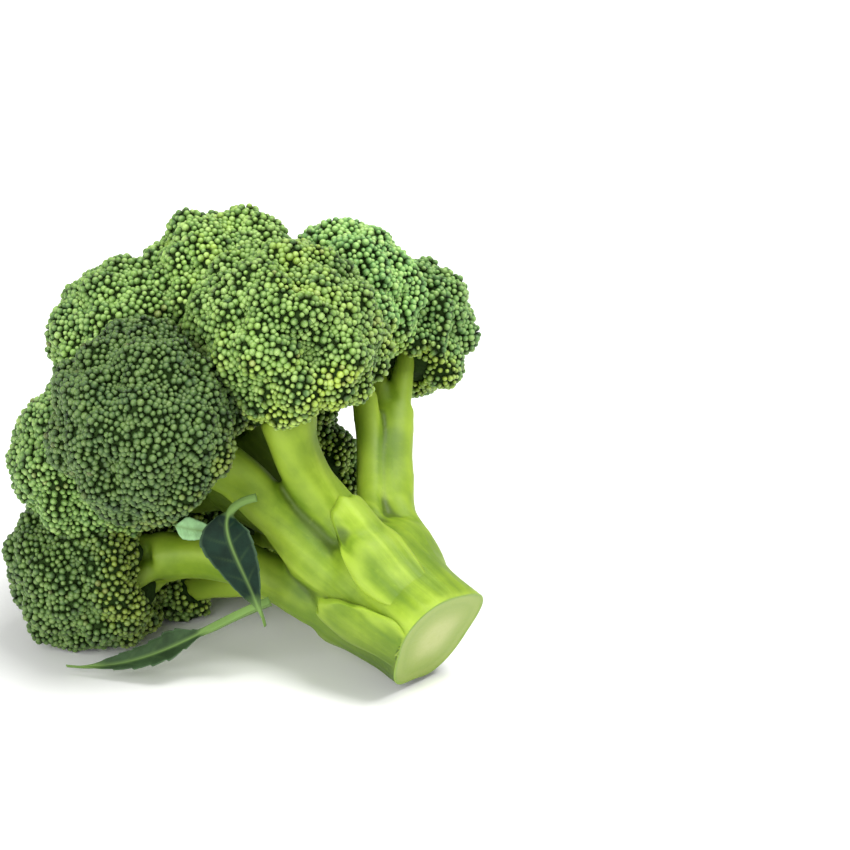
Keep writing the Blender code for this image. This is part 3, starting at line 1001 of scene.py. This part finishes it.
def longest_loop(edges):
    """The vertices of the longest closed loop of edges, in order."""
    left = dict.fromkeys(edges)
    best = []
    while left:
        first, vert = left.popitem()[0].verts
        loop = [first, vert]
        while vert != first:
            following = next((e for e in vert.link_edges if e in left), None)
            if following is None:
                break
            del left[following]
            vert = following.other_vert(vert)
            loop.append(vert)
        if len(loop) > len(best):
            best = loop
    return best[:-1]


# How far in from its rim each ring of the cut face lies, as a share of the way to its middle.
CUT_RINGS = (0.02, 0.05, 0.09, 0.14, 0.2, 0.27, 0.35, 0.44, 0.54, 0.65, 0.77, 0.89)
CUT_DISH = 0.35 * MM
CUT_BEVEL = 0.25 * MM
OUTLINE_ROUNDS = 6


def close_cut(bm, edges):
    """Close the stalk's cut with rings that run from its rim to its pith."""
    rim = bm.verts.layers.float.new("rim")
    loop = longest_loop(edges)
    centre = sum((vert.co for vert in loop), Vector()) / len(loop)
    outline = [vert.co - centre for vert in loop]
    count = len(loop)
    for _ in range(OUTLINE_ROUNDS):
        outline = [(outline[i - 1] + outline[i] * 2 + outline[(i + 1) % count]) / 4 for i in range(count)]
    last = loop
    for inward in CUT_RINGS:
        dish = AXIS * (CUT_DISH * smooth(0.0, 0.5, inward) - CUT_BEVEL * (1 - smooth(0.0, 0.09, inward)))
        ring = [bm.verts.new(centre + place * (1 - inward) + dish) for place in outline]
        for i, vert in enumerate(ring):
            vert[rim] = inward
            j = (i + 1) % count
            face = bm.faces.new((last[j], last[i], ring[i], ring[j]))
            face.material_index = 1
        last = ring
    hub = bm.verts.new(centre + AXIS * CUT_DISH)
    hub[rim] = 1.0
    for i in range(count):
        bm.faces.new((last[(i + 1) % count], last[i], hub)).material_index = 1


def trim_skin(bm):
    """Cut the skin flat where it rests and at the stalk's foot, and close both cuts."""
    bmesh.ops.holes_fill(bm, edges=sliced(bm, Vector((0, 0, 0.05 * MM)), Vector((0, 0, -1))), sides=0)
    close_cut(bm, sliced(bm, FOOT, -AXIS))
    turn_out(bm)


# How many fibres lie side by side round the stalk, and how long one is.
FIBRES = 13
FIBRE_LENGTH = 26 * MM


def skin_attributes(mesh):
    """Fibre direction, depth between the stems and nearness to the crowns, for the material; depth carries
    painted shade, deep between the stems and on the stalk's lower side.
    """
    places = read_vectors(mesh, "co") - np.array(FOOT)
    height, p, q = (places @ np.array(way) for way in (AXIS, ACROSS, UPWARD))
    reach = np.hypot(p, q)
    safe = np.maximum(reach, 1 * MM)
    fibre = np.stack([p / safe * FIBRES, q / safe * FIBRES, (height + reach) / FIBRE_LENGTH], 1)
    store_ridges(mesh)
    store(mesh, "fibre", fibre, "FLOAT_VECTOR")
    # Painted shade deep between the stems, near the crowns.
    inside = 1 - np.clip(reach / (12 * MM + np.maximum(height - 40 * MM, 0) * 0.45), 0, 1)
    # Painted shade on the stalk's lower side, strongest towards its foot.
    low_side_shade = np.clip((8 * MM - q) / (18 * MM), 0, 1) * np.clip(1 - height / (50 * MM), 0, 1)
    store(mesh, "depth", np.clip(inside * 1.3 * (height > 30 * MM) + low_side_shade * 0.95, 0, 1))
    # Nearness to the crowns, for the painted shade under them.
    store(mesh, "towards_crown", np.clip((height - 62 * MM) / (26 * MM), 0, 1))


def read_vectors(mesh, layer):
    """Places or normals of a mesh's points as an array."""
    values = np.empty(3 * len(mesh.vertices))
    mesh.vertices.foreach_get(layer, values)
    return values.reshape(-1, 3)


SWELL_RELIEF = 0.8 * MM
RIDGE_RELIEF = 0.35 * MM
EVEN_FOOT = 4 * MM


def relieve(mesh, seed):
    """Uneven the surface a little: low swellings and fine ridges that run along the stems."""
    places, normals = read_vectors(mesh, "co"), read_vectors(mesh, "normal")
    for place, normal in zip(places, normals):
        away = Vector(place) - FOOT
        height = away.dot(AXIS)
        turn = atan2(away.dot(UPWARD), away.dot(ACROSS))
        broad = noise.noise(Vector(place) * 75 + Vector((seed, 0, 0)))
        ridge = noise.noise(Vector((cos(turn) * 8, sin(turn) * 8, height * 22 + seed)))
        place += normal * ((SWELL_RELIEF * broad + RIDGE_RELIEF * ridge) * smooth(0, EVEN_FOOT, height))
    mesh.vertices.foreach_set("co", places.ravel())
    mesh.update()


RIDGE_ROUNDS = 28
RIDGE_HEIGHT = 1.6 * MM


def store_ridges(mesh):
    """How far each point stands out from a much smoother surface: ridges 1, hollows 0."""
    count = len(mesh.vertices)
    places, normals = read_vectors(mesh, "co"), read_vectors(mesh, "normal")
    ends = np.empty(2 * len(mesh.edges), dtype=int)
    mesh.edges.foreach_get("vertices", ends)
    ends = ends.reshape(-1, 2)
    both = np.concatenate([ends, ends[:, ::-1]])
    degree = np.maximum(np.bincount(both[:, 0], minlength=count), 1)[:, None]
    soft = places.copy()
    for _ in range(RIDGE_ROUNDS):
        total = np.stack([np.bincount(both[:, 0], soft[both[:, 1], i], count) for i in range(3)], 1)
        soft = total / degree
    stand = ((places - soft) * normals).sum(1)
    store(mesh, "ridge", np.clip(0.5 + stand / RIDGE_HEIGHT, 0, 1))


def build_skin(settings):
    """The stalk, the core and all the stems as the one piece that they are."""
    bm = bmesh.new()
    add_stalk_body(bm)
    add_core(bm)
    for name in OUTER_CROWNS:
        curve, outward, width, depth = stem_curve(name)
        wide = AXIS.cross(outward)
        widen, deepen = THICKNESS.get(name, (1.0, 1.0))
        width *= settings.thickness * widen
        depth *= settings.thickness * deepen
        until = min(FORKS.get(name, USUAL_FORK)[1] + 0.1, 1.0)
        tube(bm, curve, stem_radii(width, depth, 0.10), wide, ripple=0.05, until=until)
        add_root(bm, curve, outward, width, depth, settings.rib_length)
        add_branches(bm, name, curve, width)
    skin = remeshed(bm, "stalk_and_stems", settings.voxel)
    relieve(skin.data, settings.seed)
    cut = bmesh.new()
    cut.from_mesh(skin.data)
    trim_skin(cut)
    cut.to_mesh(skin.data)
    cut.free()
    skin.data.set_sharp_from_angle(angle=radians(50))
    skin_attributes(skin.data)
    return skin


# ---------------------------------------------------------------- leaves and stubs

LeafShape = namedtuple("LeafShape", "half_width petiole peak fold wave teeth")
StubShape = namedtuple("StubShape", "azimuth spread low high rise peak")

# Each leaf's middle line in shares of its CAD box, the way it faces, its shape and its colour.
LEAVES = {
    "short_leaf": (
        ((0.92, 0.85, 1.13), (-0.30, 0.75, 1.02), (0.80, -0.10, 0.62), (1.06, 0.26, 0.00)),
        (-0.5, -1, 0.2), LeafShape(9.0 * MM, 0.17, 0.46, 0.35, 0.8 * MM, 0.05), "dark_face",
    ),
    "long_leaf": (
        ((1.10, 0.60, 1.16), (0.74, 0.40, 0.80), (0.46, 0.10, 0.10), (0.00, 0.80, 0.10)),
        (0, -0.75, 1), LeafShape(4.6 * MM, 0.28, 0.52, 0.7, 0.6 * MM, 0.2), "grey_face",
    ),
    "cut_leaf": (
        ((1.00, 0.2, 0.5), (0.66, 0.3, 0.3), (0.33, 0.5, 0.3), (0.00, 0.7, 0.6)),
        (0, -0.9, 0.5), LeafShape(3.6 * MM, 0.02, 0.75, 0.2, 0.2 * MM, 0.05), "pale_face",
    ),
}
# Where each cut petiole's base sits on the stalk: degrees round it, and heights above the cut face.
STUBS = {
    "upper_petiole": StubShape(116, 33, 8 * MM, 46 * MM, 4.0 * MM, 0.4),
    "lower_petiole": StubShape(176, 28, -3 * MM, 31 * MM, 4.0 * MM, -0.55),
}


PETIOLE_HALF = 1.25 * MM
PETIOLE_DEPTH = 1.5 * MM
MIDRIB_HALF = 1.0 * MM
LEAF_TEETH = 13
LEAF_VEINS = 8


def leaf_half(t, shape):
    """Half width of a leaf along its length: a slim petiole, then a blade that ends in a point."""
    blade = smooth(shape.petiole, shape.peak, t) * (1 - smooth(shape.peak, 1.0, t) ** 1.2)
    petiole = PETIOLE_HALF * (1 - 0.85 * smooth(shape.petiole, 1.0, t))
    return max(shape.half_width * blade, petiole), min(blade * 3, 1)


def build_leaf(name, curve, facing, shape, settings):
    """A leaf with a raised midrib, side veins, a wavy toothed margin and a rounded petiole."""
    steps, columns = 100, 24
    bm = bmesh.new()
    vein = bm.verts.layers.float.new("vein")
    under = bm.verts.layers.float.new("under_side")
    edge = bm.verts.layers.float.new("edge")
    rows = []
    for step in range(steps + 1):
        t = step / steps
        place, tangent = bezier(curve, t)
        side = tangent.cross(facing).normalized()
        normal = side.cross(tangent)
        half, blade = leaf_half(t, shape)
        upper, lower = [], []
        for column in range(columns + 1):
            across = 2 * column / columns - 1
            # The two halves of a blade are not quite alike.
            hand = 1 if across > 0 else 0.87
            reach = abs(across)
            saw = (t * LEAF_TEETH * hand) % 1 - 0.5
            tooth = 1 + blade * shape.teeth * (saw + 0.4 * sin(17 * t * hand))
            rib = max(0, 1 - reach * half / MIDRIB_HALF) ** 1.5
            branch = abs(((t * LEAF_VEINS + reach * 0.9 * hand) % 1) - 0.5) * 2
            side_vein = smooth(0.72, 1.0, branch) * blade * (1 - reach) * smooth(0.1, 0.2, reach)
            lift = reach * half * shape.fold * (1 - 0.35 * reach)
            lift += blade * shape.wave * reach ** 2 * sin(15 * t * hand + 2 * hand)
            point = place + side * (half * across * (1 + (tooth - 1) * reach ** 3)) + normal * lift
            petiole = (1 - blade) * sqrt(max(1 - reach ** 2, 0.02)) * PETIOLE_DEPTH * (1 - t)
            thick = settings.thickness * (1 + 1.6 * rib * (1 - 0.6 * t)) * (1 - 0.55 * reach ** 6) + petiole
            front = thick * 0.5 - side_vein * 0.14 * MM - rib * blade * 0.15 * MM
            a = bm.verts.new(point + normal * front)
            b = bm.verts.new(point - normal * thick * (0.5 + 0.6 * rib))
            for vert, is_under in ((a, 0.0), (b, 1.0)):
                vert[vein] = min(1.0, rib * 1.3 * (1 - 0.7 * t) + side_vein * 0.12 + (1 - blade))
                vert[under] = is_under
                vert[edge] = reach * blade
            upper.append(a)
            lower.append(b)
        rows.append(upper + lower[::-1])
    join_rows(bm, rows)
    turn_out(bm)
    return add_object(name, mesh_from(bm, name))


def stub_patch(name, skin_tree, shape):
    """The base of a cut petiole: a shield that rises from the stalk towards its torn upper lip."""
    azimuth, spread, low, high, rise, peak = shape
    columns, rows = 30, 44
    bm = bmesh.new()
    # This layer holds towards_crown: it turns the stub's top tenth, its torn lip, towards deep green.
    vein = bm.verts.layers.float.new("towards_crown")
    grid_rows = []
    for row in range(rows + 1):
        along = row / rows
        upper, lower = [], []
        for column in range(columns + 1):
            across = 2 * column / columns - 1
            lip = 1 - 0.26 * (across + peak) ** 2 + 0.06 * noise.noise(Vector((across * 3, 7, 1)))
            height = low + (high - low) * along * lip
            half = spread * (0.5 + 0.5 * sin(pi * (0.12 + 0.62 * along)))
            place = azimuth + half * across
            direction = radial(place)
            start = spot(60 * MM, place, height)
            hit = skin_tree.ray_cast(start, -direction)[0]
            surface = hit if hit else spot(20 * MM, place, height)
            knee = 0.3 + 0.7 * sqrt(max(1 - across ** 2, 0))
            lip_edge = 0.55 + 0.45 * smooth(0, 0.05, 1 - along)
            body = rise * smooth(0.0, 0.72, along) * knee * lip_edge
            wobble = 0.5 * MM * noise.noise(Vector((across * 2.2, along * 3, azimuth)))
            sunk = 0.35 * MM * (1 - smooth(0, 0.2, along))
            top = surface + direction * (body + wobble * along - sunk)
            a = bm.verts.new(top)
            b = bm.verts.new(surface - direction * 1.2 * MM)
            for vert in (a, b):
                vert[vein] = smooth(0.9, 1.0, along)
            upper.append(a)
            lower.append(b)
        grid_rows.append(upper + lower[::-1])
    join_rows(bm, grid_rows)
    bmesh.ops.holes_fill(bm, edges=sliced(bm, FOOT, -AXIS), sides=0)
    turn_out(bm)
    return add_object(name, mesh_from(bm, name))


# ---------------------------------------------------------------- what a user would change

def length(name, description, default):
    """A length in metres."""
    return FloatProperty(name=name, description=description, default=default, unit="LENGTH")


def angle(name, description, default):
    """An angle in radians."""
    return FloatProperty(name=name, description=description, default=default, unit="ROTATION")


def paint(name, description, *default):
    """A colour."""
    return FloatVectorProperty(name=name, description=description, default=default, subtype="COLOR")


class BroccoliBudSettings(PropertyGroup):
    """Sizes and colours of the crowns."""

    bud_radius: length("Bud Radius", "Radius of one bud", 1.12 * MM)
    bud_spacing: length("Bud Spacing", "Least distance between two buds", 1.46 * MM)
    clearance: length("Clearance", "Where a neighbour is nearer, no bud grows", 1.1 * MM)
    swelling: length("Swelling", "How far the crowns swell out of their CAD shape", 1.0 * MM)
    lobe_size: length("Lobe Size", "Size of a crown's small lobes", 12 * MM)
    lobe_depth: length("Lobe Depth", "Relief of the small lobes", 5.0 * MM)
    cluster_size: length("Cluster Size", "Size of a cluster of buds", 6.0 * MM)
    cluster_depth: length("Cluster Depth", "Relief of the clusters", 3.0 * MM)
    dark: paint("Dark Green", "Darkest buds", 0.05, 0.11, 0.018)
    green: paint("Green", "Usual buds", 0.20, 0.34, 0.05)
    blue_green: paint("Blue Green", "Cooler buds", 0.15, 0.34, 0.12)
    yellow_green: paint("Yellow Green", "Buds at a margin", 0.34, 0.46, 0.055)
    # Lightest buds at random, also the painted highlight at each bud's tip and the painted light on lit
    # crowns.
    pale: paint("Pale Green", "Lightest buds", 0.32, 0.45, 0.15)
    brown: paint("Brown", "The few browned buds", 0.14, 0.10, 0.03)
    # Painted shade at the foot of each bud.
    foot: paint("Bud Foot", "Shade at the foot of a bud", 0.12, 0.14, 0.09)


class BroccoliStemSettings(PropertyGroup):
    """Sizes and colours of the stalk and stems."""

    voxel: length("Skin Detail", "Size of the skin's faces", 0.85 * MM)
    thickness: FloatProperty(
        name="Thickness", description="Thickness of the stems against the CAD ones", default=1.0)
    seed: IntProperty(name="Seed", description="Changes the unevenness of the skin", default=3)
    rib_length: length("Rib Length", "How far a stem's rib runs down the stalk", 24 * MM)
    skin: paint("Skin", "Usual skin", 0.235, 0.35, 0.016)
    # Darker skin at random, also the painted shade under the crowns.
    deep: paint("Deep Green", "Darker skin", 0.105, 0.19, 0.007)
    # Real pale waxy patches, also the painted highlight on the ridges.
    bloom_and_highlight: paint("Bloom", "Pale waxy patches", 0.38, 0.51, 0.055)
    # Painted shade in the creases.
    crease_shade: paint("Hollow", "Skin in the creases", 0.06, 0.105, 0.007)
    # Painted shade deep between the stems and on the stalk's lower side.
    shade: paint("Inner Shade", "Skin deep between the stems", 0.04, 0.075, 0.012)
    rim: paint("Cut Rim", "Rim of the cut face", 0.19, 0.30, 0.025)
    flesh: paint("Cut Flesh", "Flesh inside the rim", 0.26, 0.345, 0.05)
    vein: paint("Cut Ring", "Ring of fibres", 0.215, 0.31, 0.03)
    pith: paint("Pith", "Pale middle of the cut face", 0.41, 0.455, 0.145)


class BroccoliLeafSettings(PropertyGroup):
    """Sizes and colours of the leaves."""

    thickness: length("Thickness", "Thickness of a leaf's blade", 0.55 * MM)
    dark_face: paint("Short Leaf", "Face of the short leaf", 0.005, 0.015, 0.009)
    grey_face: paint("Long Leaf", "Face of the long leaf", 0.020, 0.040, 0.015)
    pale_face: paint("Cut Leaf", "Face of the cut leaf", 0.24, 0.42, 0.20)
    under: paint("Underside", "Underside of a leaf", 0.07, 0.12, 0.06)
    midrib: paint("Midrib", "Midrib and veins", 0.16, 0.27, 0.07)
    margin: paint("Margin", "Edge of a leaf", 0.08, 0.14, 0.07)


class BroccoliStageSettings(PropertyGroup):
    """Camera, floor and light."""

    lens: FloatProperty(name="Lens", description="Focal length in millimetres", default=120.0)
    distance: length("Camera Distance", "From the camera to the head", 0.891)
    elevation: angle("Elevation", "How far the camera looks down", radians(20))
    aside: length("Aim Aside", "How far right of the head the camera aims", 0.0565)
    floor_size: length("Floor Size", "Side of the floor", 14.0)
    key_power: FloatProperty(name="Key Light", description="Strength of the main light", default=3.6)
    key_softness: angle("Key Softness", "Angle that the main light fills", radians(34))
    fill_power: FloatProperty(name="Fill Light", description="Power of the fill softbox", default=9.5)
    fill_size: length("Fill Size", "Width of the fill softbox", 0.9)
    sky: FloatProperty(name="Room Light", description="Brightness all round", default=0.5)


# ---------------------------------------------------------------- operators

SENSOR_WIDTH = 36
KEY_DIRECTION = (-0.34, 0.05, -0.90)
FILL_PLACE = Vector((-0.45, -0.85, 0.35))


class OBJECT_OT_broccoli_stage(Operator):
    """Set up the camera, the pale floor and the soft light"""

    bl_idname = "object.broccoli_stage"
    bl_label = "Set Up Stage"

    def execute(self, context):
        settings = context.scene.broccoli_stage
        low, high = CAD_BOX
        centre = (Vector(low) + Vector(high)) / 2
        self.add_camera(context, settings, centre)
        self.add_floor(settings)
        self.add_light(
            "key_light", "SUN", KEY_DIRECTION, centre,
            energy=settings.key_power, angle=settings.key_softness)
        self.add_light(
            "fill_softbox", "AREA", -FILL_PLACE, centre + FILL_PLACE,
            shape="DISK", size=settings.fill_size, energy=settings.fill_power)
        self.add_sky(context, settings)
        context.scene.view_settings.view_transform = "Standard"
        return {"FINISHED"}

    def add_camera(self, context, settings, centre):
        data = bpy.data.cameras.new("camera")
        data.lens = settings.lens
        data.sensor_width = SENSOR_WIDTH
        camera = add_object("camera", data)
        back = Vector((0, -cos(settings.elevation), sin(settings.elevation)))
        camera.location = centre + Vector((settings.aside, 0, 0)) + back * settings.distance
        camera.rotation_euler = (pi / 2 - settings.elevation, 0, 0)
        context.scene.camera = camera

    def add_floor(self, settings):
        bm = bmesh.new()
        bmesh.ops.create_grid(bm, x_segments=1, y_segments=1, size=settings.floor_size / 2)
        floor = add_object("floor", mesh_from(bm, "floor"))
        finish, tree, place = new_finish("pale_floor")
        base = tree.mix(tree.noise(place, 3.0), (0.90, 0.90, 0.89), (0.93, 0.93, 0.925))
        set_surface(tree, {"Base Color": base, "Roughness": 0.8, "Specular IOR Level": 0.1})
        floor.data.materials.append(finish)

    def add_light(self, name, kind, direction, place, **values):
        data = bpy.data.lights.new(name, kind)
        for setting, value in values.items():
            setattr(data, setting, value)
        light = add_object(name, data)
        light.location = place
        light.rotation_euler = Vector(direction).to_track_quat("-Z", "Y").to_euler()

    def add_sky(self, context, settings):
        world = bpy.data.worlds.new("room")
        world.use_nodes = True
        background = world.node_tree.nodes["Background"]
        background.inputs["Color"].default_value = (1, 1, 1, 1)
        background.inputs["Strength"].default_value = settings.sky
        context.scene.world = world


class OBJECT_OT_broccoli_crowns(Operator):
    """Grow the buds on every crown"""

    bl_idname = "object.broccoli_crowns"
    bl_label = "Grow Crowns"

    def execute(self, context):
        settings = context.scene.broccoli_buds
        group = bud_tree()
        bead = add_object("bead", bead_mesh())
        finishes = (bud_finish(settings), bed_shade_finish(settings))
        for number, name in enumerate(OUTER_CROWNS + INNER_CROWNS):
            checked(grow_crown(name, number, group, bead, finishes, settings))
        bpy.data.objects.remove(bead)
        return {"FINISHED"}


class OBJECT_OT_broccoli_stems(Operator):
    """Grow the stalk, the core and the stems"""

    bl_idname = "object.broccoli_stems"
    bl_label = "Grow Stems"

    def execute(self, context):
        settings = context.scene.broccoli_stems
        skin = build_skin(settings)
        skin.data.materials.append(stem_finish(settings))
        skin.data.materials.append(cut_finish(settings))
        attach(skin, "root")
        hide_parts("main_stalk", "core_stem", *(name + "_stem" for name in OUTER_CROWNS))
        checked(skin)
        return {"FINISHED"}


class OBJECT_OT_broccoli_stubs(Operator):
    """Add the bases of the cut petioles to the stalk"""

    bl_idname = "object.broccoli_stubs"
    bl_label = "Add Petiole Stubs"

    def execute(self, context):
        skin = bpy.data.objects["stalk_and_stems"]
        tree = BVHTree.FromPolygons(
            [v.co for v in skin.data.vertices], [p.vertices for p in skin.data.polygons])
        finish = skin.data.materials[0]
        for name, shape in STUBS.items():
            stub = stub_patch(name, tree, shape)
            skin_attributes_for(stub.data)
            stub.data.materials.append(finish)
            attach(stub, "root")
            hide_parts(name + "_stub")
            checked(stub)
        return {"FINISHED"}


def skin_attributes_for(mesh):
    """The stem material's attributes on a stub, which brings its own torn lip."""
    lip = mesh.attributes["towards_crown"]
    values = np.empty(len(mesh.vertices))
    lip.data.foreach_get("value", values)
    mesh.attributes.remove(lip)
    skin_attributes(mesh)
    mesh.attributes["towards_crown"].data.foreach_set("value", values)


class OBJECT_OT_broccoli_leaves(Operator):
    """Grow the three leaves"""

    bl_idname = "object.broccoli_leaves"
    bl_label = "Grow Leaves"

    def execute(self, context):
        settings = context.scene.broccoli_leaves
        for node, (places, facing, shape, face) in LEAVES.items():
            curve = [within(node, *place) for place in places]
            leaf = build_leaf(node + "_blade", curve, Vector(facing), shape, settings)
            leaf.data.materials.append(leaf_finish(settings, node + "_skin", getattr(settings, face)))
            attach(leaf, "root")
            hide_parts(node)
            checked(leaf)
        return {"FINISHED"}


class VIEW3D_PT_broccoli(Panel):
    """Lists the head's settings and the operators that grow it"""

    bl_idname = "VIEW3D_PT_broccoli"
    bl_label = "Broccoli Head"
    bl_space_type = "VIEW_3D"
    bl_region_type = "UI"
    bl_category = "Broccoli"

    def draw(self, context):
        for operator in OPERATORS:
            self.layout.operator(operator.bl_idname)
        for settings in SETTINGS:
            group = getattr(context.scene, settings)
            box = self.layout.box()
            for name in group.__annotations__:
                box.prop(group, name)


OPERATORS = (
    OBJECT_OT_broccoli_stage,
    OBJECT_OT_broccoli_stems,
    OBJECT_OT_broccoli_stubs,
    OBJECT_OT_broccoli_leaves,
    OBJECT_OT_broccoli_crowns,
)
SETTINGS = {
    "broccoli_buds": BroccoliBudSettings,
    "broccoli_stems": BroccoliStemSettings,
    "broccoli_leaves": BroccoliLeafSettings,
    "broccoli_stage": BroccoliStageSettings,
}


def register():
    for kind in (*SETTINGS.values(), *OPERATORS, VIEW3D_PT_broccoli):
        bpy.utils.register_class(kind)
    for name, kind in SETTINGS.items():
        setattr(bpy.types.Scene, name, PointerProperty(type=kind))


def unregister():
    for name in SETTINGS:
        delattr(bpy.types.Scene, name)
    for kind in (VIEW3D_PT_broccoli, *reversed(OPERATORS), *SETTINGS.values()):
        bpy.utils.unregister_class(kind)


def main():
    register()
    bpy.ops.object.broccoli_stage()
    bpy.ops.object.broccoli_stems()
    bpy.ops.object.broccoli_stubs()
    bpy.ops.object.broccoli_leaves()
    bpy.ops.object.broccoli_crowns()


if __name__ == "__main__":
    main()
